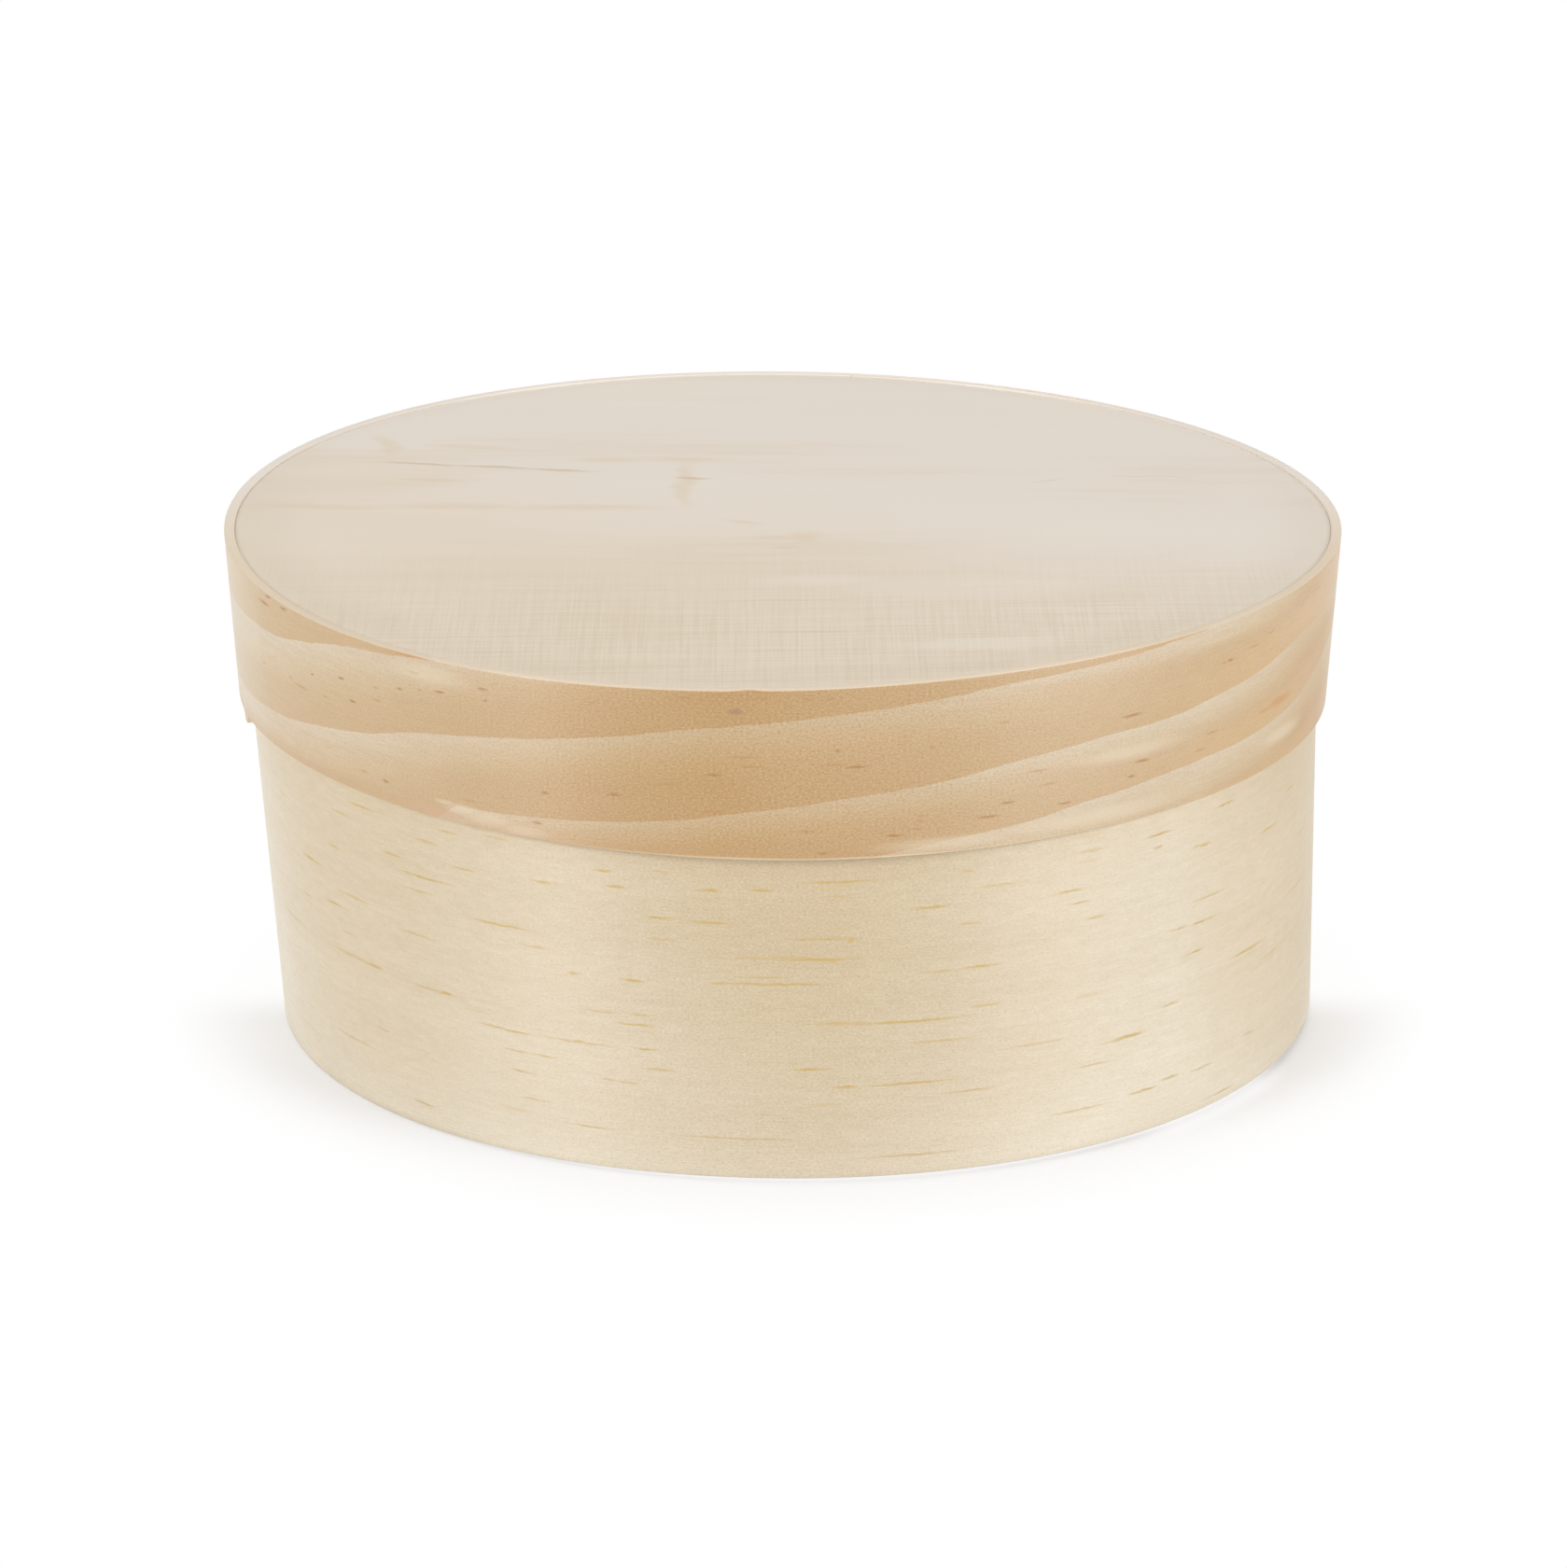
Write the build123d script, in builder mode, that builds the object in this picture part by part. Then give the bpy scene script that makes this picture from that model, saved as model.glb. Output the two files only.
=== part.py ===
from build123d import *
import os
from math import cos, degrees, radians, sin

os.makedirs("parts", exist_ok=True)

# A round cheese box with a lift-off lid: two hoops of bent pine veneer, each closed by a glued
# scarf lap, and two discs of thin plywood glued into them. Millimetres, +Z up, the origin at the
# centre of the face that the box stands on. The laps are on the far side, towards +Y.

# Driving dimensions
veneer = 1.2                # thickness of the bent strips
lid_rim_radius = 61.0       # outside of the lid at its upper rim
lid_draw_in = 1.15          # how much narrower the lid is at its lower edge, measured on the radius
lid_height = 18.6           # height of the lid's hoop
base_spread = 1.1           # how much wider the base is at its rim than at its foot, on the radius
base_height = 51.9          # height of the base's hoop, which the lid's disc rests on
slide_clearance = 0.3       # between the base's rim and the lid's mouth as they pass

# Plywood discs
face_ply = 0.8              # thickness of each outer ply
core_ply = 1.4              # thickness of the middle ply
disc_fit = 0.05             # radial gap between a disc's edge and the hoop at its tightest
disc_recess = 0.2           # depth of the lid's disc below the lid's rim

# Sanded edges of the hoops
edge_ease = 0.15

# Scarf laps and their glue
lap_length = 30.0           # length of the slanted joint along the hoop
lap_tip = 0.4               # thickness left at the blunt end of the outer strip
glue_line = 0.1             # thickness of the glue in the lap
base_lap_angle = 118.0      # middle of the base's lap, in degrees from +X towards +Y
lid_lap_angle = 68.0        # middle of the lid's lap
cut_overrun = 2.0           # how far the lap's tool reaches past the hoop's faces

# Glue beads in the corners between the discs and the hoops
base_bead = 1.2             # leg of the bead on the floor of the base
lid_bead_share = 0.6        # part of the room outside the base's rim that the lid's bead takes

# Places that follow
lid_mouth_radius = lid_rim_radius - lid_draw_in
base_rim_radius = lid_mouth_radius - veneer - slide_clearance
base_foot_radius = base_rim_radius - base_spread
disc_thickness = face_ply + core_ply + face_ply
lid_disc_bottom = base_height
lid_disc_top = lid_disc_bottom + disc_thickness
lid_rim = lid_disc_top + disc_recess
lid_mouth = lid_rim - lid_height


def cone_radius(low_radius, high_radius, low, high, z):
    """Radius at height z of the straight cone through two radii at two heights."""
    return low_radius + (high_radius - low_radius) * (z - low) / (high - low)


def base_outside(z):
    """Outer radius of the base's hoop at height z."""
    return cone_radius(base_foot_radius, base_rim_radius, 0, base_height, z)


def lid_outside(z):
    """Outer radius of the lid's hoop at height z."""
    return cone_radius(lid_mouth_radius, lid_rim_radius, lid_mouth, lid_rim, z)


def closed_hoop(outside, low, high):
    """A whole ring of veneer between two heights, with its four edges eased."""
    with BuildPart() as ring:
        with BuildSketch(Plane.XZ):
            with BuildLine():
                Polyline(
                    (outside(low) - veneer, low),
                    (outside(low), low),
                    (outside(high), high),
                    (outside(high) - veneer, high),
                    close=True,
                )
            make_face()
            chamfer(vertices(), edge_ease)
        revolve(axis=Axis.Z)
    return ring.part


def polar(radius, angle):
    """Point of a plan at a radius and an angle in radians."""
    return (radius * cos(angle), radius * sin(angle))


def lap_plan(outer_radius, middle):
    """Plan of the glue in a lap: down from the outside, along the slant and out on the inside."""
    inner_radius = outer_radius - veneer
    start = middle - lap_length / outer_radius / 2
    end = middle + lap_length / outer_radius / 2
    blunt = glue_line / outer_radius
    upper_start = outer_radius - lap_tip
    upper_end = inner_radius + lap_tip
    upper_middle = polar((upper_start + upper_end) / 2, (start + end + blunt) / 2)
    lower_middle = polar((upper_start + upper_end) / 2 - glue_line, (start + end - blunt) / 2)
    outer_cut = outer_radius + cut_overrun
    inner_cut = inner_radius - cut_overrun
    with BuildLine() as outline:
        Line(polar(outer_cut, start - blunt), polar(outer_cut, start))
        Line(polar(outer_cut, start), polar(upper_start, start))
        ThreePointArc(polar(upper_start, start), upper_middle, polar(upper_end, end + blunt))
        Line(polar(upper_end, end + blunt), polar(inner_cut, end + blunt))
        Line(polar(inner_cut, end + blunt), polar(inner_cut, end))
        Line(polar(inner_cut, end), polar(upper_end - glue_line, end))
        ThreePointArc(
            polar(upper_end - glue_line, end), lower_middle, polar(upper_start - glue_line, start - blunt)
        )
        Line(polar(upper_start - glue_line, start - blunt), polar(outer_cut, start - blunt))
    return outline.line


def lap_tool(outside, low, high, angle):
    """The thin slanted slab that parts a hoop's two ends, taller than the hoop."""
    with BuildPart() as slab:
        for z in (low - cut_overrun, high + cut_overrun):
            with BuildSketch(Plane.XY.offset(z)):
                add(lap_plan(outside(z), radians(angle)))
                make_face()
        loft(ruled=True)
    return slab.part


def ply(radius, low, thickness):
    """One round ply of a disc."""
    with BuildPart() as layer:
        with BuildSketch(Plane.XY.offset(low)):
            Circle(radius)
        extrude(amount=thickness)
    return layer.part


def save(piece, name):
    """Label a finished piece and write it."""
    piece.label = name
    export_step(piece, f"parts/{name}.step")


# Base hoop: one strip of veneer bent round, its ends cut to a slant and lapped
with BuildPart() as base_hoop:
    add(closed_hoop(base_outside, 0, base_height))
    add(lap_tool(base_outside, 0, base_height, base_lap_angle), mode=Mode.SUBTRACT)
save(base_hoop.part, "base_hoop")

# Glue in the base hoop's lap
with BuildPart() as base_hoop_glue:
    add(closed_hoop(base_outside, 0, base_height))
    add(lap_tool(base_outside, 0, base_height, base_lap_angle), mode=Mode.INTERSECT)
save(base_hoop_glue.part, "base_hoop_glue")

# Base disc: three plies let into the foot of the hoop, flush with its lower edge
base_disc_radius = base_foot_radius - veneer - disc_fit
with BuildPart() as base_disc_bottom_ply:
    add(ply(base_disc_radius, 0, face_ply))
save(base_disc_bottom_ply.part, "base_disc_bottom_ply")

with BuildPart() as base_disc_core_ply:
    add(ply(base_disc_radius, face_ply, core_ply))
save(base_disc_core_ply.part, "base_disc_core_ply")

with BuildPart() as base_disc_top_ply:
    add(ply(base_disc_radius, face_ply + core_ply, face_ply))
save(base_disc_top_ply.part, "base_disc_top_ply")

# Glue bead round the floor, in the corner between the disc and the hoop
with BuildPart() as base_disc_glue:
    with BuildSketch(Plane.XZ):
        with BuildLine():
            Polyline(
                (base_outside(disc_thickness) - veneer, disc_thickness),
                (base_outside(disc_thickness + base_bead) - veneer, disc_thickness + base_bead),
                (base_outside(disc_thickness) - veneer - base_bead, disc_thickness),
                close=True,
            )
        make_face()
    revolve(axis=Axis.Z)
save(base_disc_glue.part, "base_disc_glue")

# Lid hoop: a lower, wider strip, lapped like the base's
with BuildPart() as lid_hoop:
    add(closed_hoop(lid_outside, lid_mouth, lid_rim))
    add(lap_tool(lid_outside, lid_mouth, lid_rim, lid_lap_angle), mode=Mode.SUBTRACT)
save(lid_hoop.part, "lid_hoop")

# Glue in the lid hoop's lap
with BuildPart() as lid_hoop_glue:
    add(closed_hoop(lid_outside, lid_mouth, lid_rim))
    add(lap_tool(lid_outside, lid_mouth, lid_rim, lid_lap_angle), mode=Mode.INTERSECT)
save(lid_hoop_glue.part, "lid_hoop_glue")

# Lid disc: three plies let in just below the lid's rim, resting on the base's rim when it is shut
lid_disc_radius = lid_outside(lid_disc_bottom) - veneer - disc_fit
with BuildPart() as lid_disc_bottom_ply:
    add(ply(lid_disc_radius, lid_disc_bottom, face_ply))
save(lid_disc_bottom_ply.part, "lid_disc_bottom_ply")

with BuildPart() as lid_disc_core_ply:
    add(ply(lid_disc_radius, lid_disc_bottom + face_ply, core_ply))
save(lid_disc_core_ply.part, "lid_disc_core_ply")

with BuildPart() as lid_disc_top_ply:
    add(ply(lid_disc_radius, lid_disc_top - face_ply, face_ply))
save(lid_disc_top_ply.part, "lid_disc_top_ply")

# Glue bead under the lid's disc, in the corner with the hoop, clear of the base's rim
lid_bead = lid_bead_share * (lid_outside(lid_disc_bottom) - veneer - base_rim_radius)
with BuildPart() as lid_disc_glue:
    with BuildSketch(Plane.XZ):
        with BuildLine():
            Polyline(
                (lid_outside(lid_disc_bottom) - veneer, lid_disc_bottom),
                (lid_outside(lid_disc_bottom - lid_bead) - veneer, lid_disc_bottom - lid_bead),
                (lid_outside(lid_disc_bottom) - veneer - lid_bead, lid_disc_bottom),
                close=True,
            )
        make_face()
    revolve(axis=Axis.Z)
save(lid_disc_glue.part, "lid_disc_glue")

print(f"closed height {lid_rim:.2f}, lid mouth at {lid_mouth:.2f}, base rim radius {base_rim_radius:.2f}")
print(f"bead to base rim {lid_disc_radius - lid_bead - base_rim_radius:.2f}")
print(f"lap turns {degrees(lap_length / base_foot_radius):.1f} degrees")
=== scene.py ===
import math

import bpy
import numpy as np
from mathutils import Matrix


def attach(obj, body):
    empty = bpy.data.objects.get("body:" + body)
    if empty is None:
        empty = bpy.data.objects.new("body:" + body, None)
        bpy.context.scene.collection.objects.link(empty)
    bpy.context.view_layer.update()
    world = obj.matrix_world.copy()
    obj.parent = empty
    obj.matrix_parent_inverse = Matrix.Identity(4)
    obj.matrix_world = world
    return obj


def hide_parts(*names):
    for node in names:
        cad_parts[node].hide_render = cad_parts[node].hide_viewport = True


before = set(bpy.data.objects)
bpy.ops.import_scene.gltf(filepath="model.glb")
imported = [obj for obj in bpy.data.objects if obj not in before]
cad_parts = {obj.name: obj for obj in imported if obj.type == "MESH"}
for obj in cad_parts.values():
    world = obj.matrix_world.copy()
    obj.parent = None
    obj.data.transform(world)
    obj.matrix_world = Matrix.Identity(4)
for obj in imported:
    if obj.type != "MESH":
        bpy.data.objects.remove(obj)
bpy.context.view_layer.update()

# The base's hoop is a strip of pale pine veneer, steamed, bent round and closed at the back by a
# slanted, glued lap. Its cut edges wave a little and its wall leans a little to the right.

mm = 0.001
lift = 0.4                       # the foot's mean height over the table, because it stands on its low points
foot_softness = 0.04             # how gently the lower edge levels out just above the table
foot_drop = 0.03                 # how far the whole lower edge is let down to meet the table
veneer = 1.2
base_foot_radius = 57.32
base_flare = 0.0344              # widening of the base per millimetre of height
base_draw_in = 0.0029            # how fast the base curves in above draw_in_height
draw_in_height = 34
base_foot_centre = 1.11
base_lean = -0.0399              # sideways shift of the base's centre per millimetre of height
lean_height = 36                 # where the lean ends
rim_gap = 0.06                   # room between the base's rim and the lid's board
lid_rim_height = 54.84 + lift
board = 3.0
board_recess = 0.2
lap_length = 30.0
lap_tip = 0.4
glue_line = 0.1
base_lap_angle = 118.0
edge_ease = 0.16
thin_ease = 0.4                  # share of a thin end that its rounded edges may take
sharp_angle = math.radians(50)   # corners sharper than this are shaded as edges
lap_steps = 50
strip_steps = 720
# The waves of the base's foot and of the lid's rim: one, two and three to the turn, cosine then sine.
foot_wave = (0.104, -0.012, -0.079, -0.336, 0.189, 0.098)
rim_wave = (-0.010, 0.020, 0.116, -0.494, -0.140, 0.0)


def warp(angle, share, terms):
    """Rise of a board inside a waving edge, in millimetres: one, two and three waves to the turn, each
    dying out towards the middle by its own power of the share of the radius."""
    a, b, c, d, e, f = terms
    one = share * (a * np.cos(angle) + b * np.sin(angle))
    two = share ** 2 * (c * np.cos(2 * angle) + d * np.sin(2 * angle))
    three = share ** 3 * (e * np.cos(3 * angle) + f * np.sin(3 * angle))
    return one + two + three


def foot_height(angle, share=1.0):
    """Height of the base's lower edge, or of the board in it: half the sum of the free wave and the root
    of its square and a little more, so that it levels out and never goes under the table."""
    free = lift + warp(angle, share, foot_wave)
    return 0.5 * (free + np.sqrt(free ** 2 + foot_softness)) - foot_drop


def under_board(angle, share=1.0):
    """Height of the lower face of the lid's board, which warps with the lid's rim."""
    return lid_rim_height - board_recess - board + warp(angle, share, rim_wave)


def base_rim(angle):
    """Upper edge of the base's hoop, a hair under the lid's board."""
    return under_board(angle) - rim_gap


def base_radius(z):
    """Outside of the base's hoop: a straight flare up to the lid's mouth, drawn in a little above it."""
    return base_foot_radius + base_flare * z - base_draw_in * np.maximum(z - draw_in_height, 0) ** 2


def base_thickness(share):
    """The base's strip is equally thick all the way up."""
    return veneer + 0 * share


def base_centre(z):
    """Sideways place of the base's centre: a straight lean up to the lid's mouth, upright above it."""
    return base_foot_centre + base_lean * np.minimum(z, lean_height)


def lap_ends(radius, middle):
    """Where a lap starts and ends along its strip, and how far its blunt ends stand apart, as angles."""
    half = lap_length / radius / 2
    return math.radians(middle) - half, math.radians(middle) + half, glue_line / radius


def strip_columns(radius, middle, thickness):
    """The cross-sections along a bent strip, from its outer tip round to its inner tip: each one's angle
    and what the lap has taken off its outer and its inner face. The inner face is cut away under the
    outer tip, and the outer face over the inner tip, both along one slant."""
    start, end, blunt = lap_ends(radius, middle)
    first = np.linspace(start, end + blunt, lap_steps)
    whole = np.linspace(end + blunt, start - blunt + 2 * np.pi, strip_steps)
    last = np.linspace(start - blunt + 2 * np.pi, end + 2 * np.pi, lap_steps)
    slant = np.linspace(lap_tip, thickness - lap_tip, lap_steps)
    outer_cut = np.concatenate([0 * first, 0 * whole, slant + glue_line])
    inner_cut = np.concatenate([slant[::-1], 0 * whole, 0 * last])
    return np.concatenate([first, whole, last]), outer_cut, inner_cut


def section_loop(rows, inner_rows):
    """The loop round a strip's cut, up the outer wall, over the rim, down the inner wall and under the
    foot: for each point its face (0 outer, 1 inner), its share of the height, and how far the rounding
    takes it in and up, in units of the rounding: one less the cosine and the sine of its turn."""
    turn = np.linspace(0, np.pi / 2, 5)[1:]
    none = 0 * turn
    inwards = 1 - np.cos(turn)
    upwards = np.sin(turn)
    outer = np.linspace(0, 1, rows)
    inner = np.linspace(1, 0, inner_rows)
    face = np.concatenate([0 * outer, none, none + 1, 0 * inner + 1, none + 1, none])
    share = np.concatenate([outer, none + 1, none + 1, inner, none, none])
    into = np.concatenate([0 * outer, inwards, inwards[::-1], 0 * inner, inwards, inwards[::-1]])
    up = np.concatenate([0 * outer, upwards, upwards[::-1], 0 * inner, -upwards, -upwards[::-1]])
    return face, share, into, up


def round_points(centre, radius, angle, z):
    """Points at a radius and an angle round a centre that lies sideways of the origin, at a height."""
    x = centre + radius * np.cos(angle)
    return np.stack(np.broadcast_arrays(x, radius * np.sin(angle), z), axis=-1)


def bent_strip(columns, loop, low, high, outside, thickness, centre, short=0.0):
    """Points of a bent strip, angle by loop. Height runs between the low and the high edge at each
    angle, or stops short of both, the radius is that of the outer or the inner face there less its cut,
    and the centre moves sideways with the height."""
    angle, outer_cut, inner_cut = (c[:, None] for c in columns)
    face, share, into, up = (v[None, :] for v in loop)
    ease = np.minimum(edge_ease, thin_ease * (thickness(0.5) - outer_cut - inner_cut))
    foot = low(angle) + short
    rim = high(angle) - short
    z = foot + ease + share * (rim - foot - 2 * ease) + up * ease
    outer = outside(z) - outer_cut - into * ease
    inner = outside(z) - thickness(share) + inner_cut + into * ease
    return round_points(centre(z), np.where(face < 0.5, outer, inner), angle, z)


def make_piece(name, points, round_trip=False, ends="flat"):
    """A closed mesh from a grid of points in millimetres. The second direction always closes on itself,
    except between poles. The first closes where round_trip is true, and otherwise gets a flat cap at
    each end. With poles, the second direction starts and ends in one point on the axis."""
    n, m = points.shape[:2]
    around = np.arange(n if round_trip else n - 1)[:, None]
    along = np.arange(m - 1 if ends == "poles" else m)[None, :]
    after = (around + 1) % n
    beside = (along + 1) % m
    quads = np.stack(np.broadcast_arrays(around * m + along, after * m + along, after * m + beside,
                                         around * m + beside), axis=-1).reshape(-1, 4)
    vertices = points.reshape(-1, 3) * mm
    faces = quads.tolist()
    if ends == "poles":
        low_pole = points[:, 0].mean(axis=0) * mm
        high_pole = points[:, -1].mean(axis=0) * mm
        vertices = np.concatenate([vertices, [low_pole, high_pole]])
        here = np.arange(n)
        there = (here + 1) % n
        faces += np.stack([0 * here + n * m, there * m, here * m], axis=-1).tolist()
        faces += np.stack([0 * here + n * m + 1, here * m + m - 1, there * m + m - 1], axis=-1).tolist()
    elif not round_trip:
        faces += [list(range(m)), list(range(n * m - 1, n * m - m - 1, -1))]
    mesh = bpy.data.meshes.new(name)
    mesh.from_pydata(vertices.tolist(), [], faces)
    mesh.shade_smooth()
    mesh.set_sharp_from_angle(angle=sharp_angle)
    piece = bpy.data.objects.new(name, mesh)
    bpy.context.scene.collection.objects.link(piece)
    return piece


def note(piece, name, values):
    """Keeps a number, or three, at each vertex of a piece for its finish to read."""
    kind, field = ("FLOAT", "value") if values.ndim == 2 else ("FLOAT_VECTOR", "vector")
    attribute = piece.data.attributes.new(name, kind, "POINT")
    attribute.data.foreach_set(field, np.ascontiguousarray(values, np.float32).ravel())


def note_strip(piece, columns, loop, points, radius, low):
    """Notes where each point lies on the flat strip (along, up and deep, in metres), which points are on
    its cut edges, and how far each is above the strip's lower edge."""
    angle = columns[0][:, None]
    face, _, _, up = loop
    height = points[..., 2]
    along = angle * radius * mm + 0 * height
    deep = face[None, :] * veneer * mm + 0 * along
    note(piece, "strip", np.stack([along, height * mm, deep], axis=-1))
    note(piece, "cut_edge", np.clip(np.abs(up) * 2 - 0.6, 0, 1)[None, :] + 0 * along)
    note(piece, "above_edge", (height - low(angle)) * mm)


def along_turn(turn, steps):
    """A share that changes along a strip, in straight runs between pairs of an angle and a share."""
    return np.interp(turn, [step[0] for step in steps], [step[1] for step in steps])


def bell(turn, middle, reach):
    """A bell of 1 at its middle: e to the power of minus the square of the distance over the reach."""
    return np.exp(-((turn - middle) / reach) ** 2)


class Wire:
    """A socket of a finish. Arithmetic with other wires and with numbers adds Math nodes."""

    def __init__(self, finish, socket):
        self.finish = finish
        self.socket = socket

    def maths(self, operation, first, second=0.0):
        """One Math node on one or two numbers."""
        return self.finish.node("ShaderNodeMath", {"operation": operation}, {0: first, 1: second})

    def __add__(self, other):
        return self.maths("ADD", self, other)

    def __radd__(self, other):
        return self.maths("ADD", other, self)

    def __sub__(self, other):
        return self.maths("SUBTRACT", self, other)

    def __rsub__(self, other):
        return self.maths("SUBTRACT", other, self)

    def __mul__(self, other):
        return self.maths("MULTIPLY", self, other)

    def __rmul__(self, other):
        return self.maths("MULTIPLY", other, self)


spot_depth = 0.0005              # how deep a spot on a finish reaches into the wood, in metres


class Finish:
    """The finish of one of the box's surfaces, or of the room, built node by node. Its colour is laid on
    in coats."""

    def __init__(self, name, room=None):
        self.material = room or bpy.data.materials.new(name)
        self.material.use_nodes = True
        self.tree = self.material.node_tree
        self.tree.nodes.clear()
        self.colour = None

    def node(self, kind, settings=None, values=None, result=0):
        """Adds a node, its settings first and then its sockets' values or links, and gives one result."""
        made = self.tree.nodes.new(kind)
        for key, value in (settings or {}).items():
            if key == "stops":
                while len(made.color_ramp.elements) < len(value):
                    made.color_ramp.elements.new(1.0)
                for element, (place, colour) in zip(made.color_ramp.elements, value):
                    element.position = place
                    element.color = colour
            else:
                setattr(made, key, value)
        for key, value in (values or {}).items():
            if isinstance(value, Wire):
                self.tree.links.new(value.socket, made.inputs[key])
            else:
                made.inputs[key].default_value = value
        return Wire(self, made.outputs[result]) if len(made.outputs) else None

    def noted(self, name, result=2):
        """What the piece has noted at its vertices: result 2 for one number, 1 for three."""
        return self.node("ShaderNodeAttribute", {"attribute_name": name}, result=result)

    def place(self):
        """The point on the piece, in metres from the origin."""
        return self.node("ShaderNodeTexCoord", {}, {}, 3)

    def axis(self, place, number):
        """One of a place's three numbers."""
        return self.node("ShaderNodeSeparateXYZ", {}, {0: place}, number)

    def vector(self, operation, *values):
        """Vector maths on places. A length comes out as one number."""
        result = 1 if operation == "LENGTH" else 0
        return self.node("ShaderNodeVectorMath", {"operation": operation}, dict(enumerate(values)), result)

    def away(self, place, point):
        """How far a place is from a point."""
        return self.vector("LENGTH", self.vector("SUBTRACT", place, point))

    def mix(self, share, low, high):
        """The low colour where the share is 0 and the high one where it is 1."""
        return self.node("ShaderNodeMix", {"data_type": "RGBA"}, {0: share, 6: low, 7: high}, 2)

    def coat(self, share, red, green, blue):
        """Lays a colour, given by its screen values, over the coats so far, as densely as the share says."""
        self.colour = self.mix(share, self.colour, paint(red, green, blue))

    def passage(self, value, low, high):
        """0 up to low, 1 from high on, smooth between."""
        smooth = {"interpolation_type": "SMOOTHSTEP"}
        return self.node("ShaderNodeMapRange", smooth, {0: value, 1: low, 2: high})

    def scaled(self, place, scale):
        """The place times a scale of its own along each direction."""
        return self.node("ShaderNodeMapping", {}, {"Vector": place, "Scale": scale})

    def noise(self, place, scale, detail=2.0, roughness=0.5, result=0):
        """Soft noise with its own number of cells to the metre along each direction."""
        values = {"Vector": self.scaled(place, scale), "Scale": 1.0, "Detail": detail, "Roughness": roughness}
        return self.node("ShaderNodeTexNoise", {}, values, result)

    def shaken(self, place, scale, reach):
        """The place, moved about by noise by up to half the reach in each direction."""
        cloud = self.noise(place, scale, 2.0, 0.5, 1)
        shift = self.vector("MULTIPLY", self.vector("SUBTRACT", cloud, (0.5, 0.5, 0.5)), reach)
        return self.vector("ADD", place, shift)

    def flecks(self, place, cell, size, share):
        """Scattered stretched flecks: in a share of the cells, 1 in the middle of a fleck, 0 outside it."""
        spread = (1 / cell[0], 1 / cell[1], 1 / cell[2])
        cells = {"Vector": self.scaled(place, spread), "Scale": 1.0}
        distance = self.node("ShaderNodeTexVoronoi", {}, cells, 0)
        pick = self.node("ShaderNodeSeparateColor", {}, {0: self.node("ShaderNodeTexVoronoi", {}, cells, 1)})
        there = 1 - self.passage(pick, share - 0.08, share + 0.02)
        return (1 - self.passage(distance, size * 0.2, size)) * there

    def spots(self, place, spots):
        """Nearness to the nearest of some stretched spots, each given by its place, length and height in
        metres and its turn: 1 in the middle of a spot, fading out to 0 at its end."""
        nearest = 2.0
        for x, y, long, high, turn in spots:
            if turn:
                where = {"Vector": place, "Location": (x, y, 0), "Rotation": (0, 0, turn),
                         "Scale": (long / 2, high / 2, spot_depth)}
                local = self.node("ShaderNodeMapping", {"vector_type": "TEXTURE"}, where)
            else:
                stretch = (2 / long, 2 / high, 1 / spot_depth)
                local = self.vector("MULTIPLY_ADD", place, stretch, (-2 * x / long, -2 * y / high, 0))
            distance = self.vector("LENGTH", local)
            nearest = distance.maths("MINIMUM", distance, nearest)
        return 1 - self.passage(nearest, 0.15, 0.95)

    def surface(self, roughness, height, depth, gloss=0.5, fuzz=0.0, satin=0.0):
        """Ends the finish: its coats get a roughness and a bump of the given depth in metres, then how
        strongly the surface shines, how much its raised fibres pale it at a flat angle, and how far
        fibres that run round the box spread its shine up and down."""
        bump = self.node("ShaderNodeBump", {}, {"Height": height, "Distance": depth, "Strength": 1.0})
        shader = self.node("ShaderNodeBsdfPrincipled", {}, {
            "Base Color": self.colour, "Roughness": roughness, "Normal": bump,
            "Specular IOR Level": gloss, "IOR": 1.6, "Sheen Weight": fuzz, "Sheen Roughness": 0.4,
            "Anisotropic": satin, "Anisotropic Rotation": 0.25,
        })
        self.node("ShaderNodeOutputMaterial", {}, {"Surface": shader})
        return self.material


def paint(red, green, blue):
    """A colour given by its screen values, 0 to 255, as the shader's linear one."""
    screen = np.array([red, green, blue]) / 255
    linear = np.where(screen <= 0.04045, screen / 12.92, ((screen + 0.055) / 1.055) ** 2.4)
    return (*linear.tolist(), 1.0)


def crisp_grain(wood, strip, dark_share, dark, light_share, light):
    """Lays sharp dark and light fibres over a veneer, as far as its noted crispness lets them show."""
    grain = wood.noise(strip, (3200, 5600, 900), 2.0, 0.7)
    crisp = wood.noted("crisp")
    wood.coat(wood.passage(grain, 0.46, 0.78) * crisp * dark_share, *dark)
    wood.coat((1 - wood.passage(grain, 0.22, 0.54)) * crisp * light_share, *light)


def planed(wood, fibres, pores):
    """Ends a veneer's finish as planed and unvarnished: a satin shine, some fuzz, and fibres and pores
    that stand up and sink in by a twentieth of a millimetre."""
    relief = fibres * 0.6 + pores * 0.4
    return wood.surface(0.45 + (pores - 0.5) * 0.2, relief, 0.00005, 1.0, 0.10, 0.9)


# A spot fades out towards its ends, so it is made longer and thicker than the mark looks.
fade_length = 1.35
fade_height = 1.1


def on_strip(radius, marks):
    """Marks given by angle, height, length and thickness in degrees and millimetres, as spots on a strip.
    The seen half of the strip is its second half turn, so an angle there is a whole turn further on."""
    return [(math.radians(a + 360) * radius * mm, (z + lift) * mm,
             long * fade_length * mm, high * fade_height * mm, 0.0) for a, z, long, high in marks]


# The camera as the photo shows it: its tilt, its distance, the height that it looks at and how far it
# stands to the side, then the photo's focal length and the point it looks at, in the photo's pixels.
camera_tilt = math.radians(18.57)
camera_distance = 732.0
camera_aim = 27.42 + lift
camera_side = -0.5
photo_focus = 7083.3
photo_middle = (838.0, 808.4)


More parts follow.
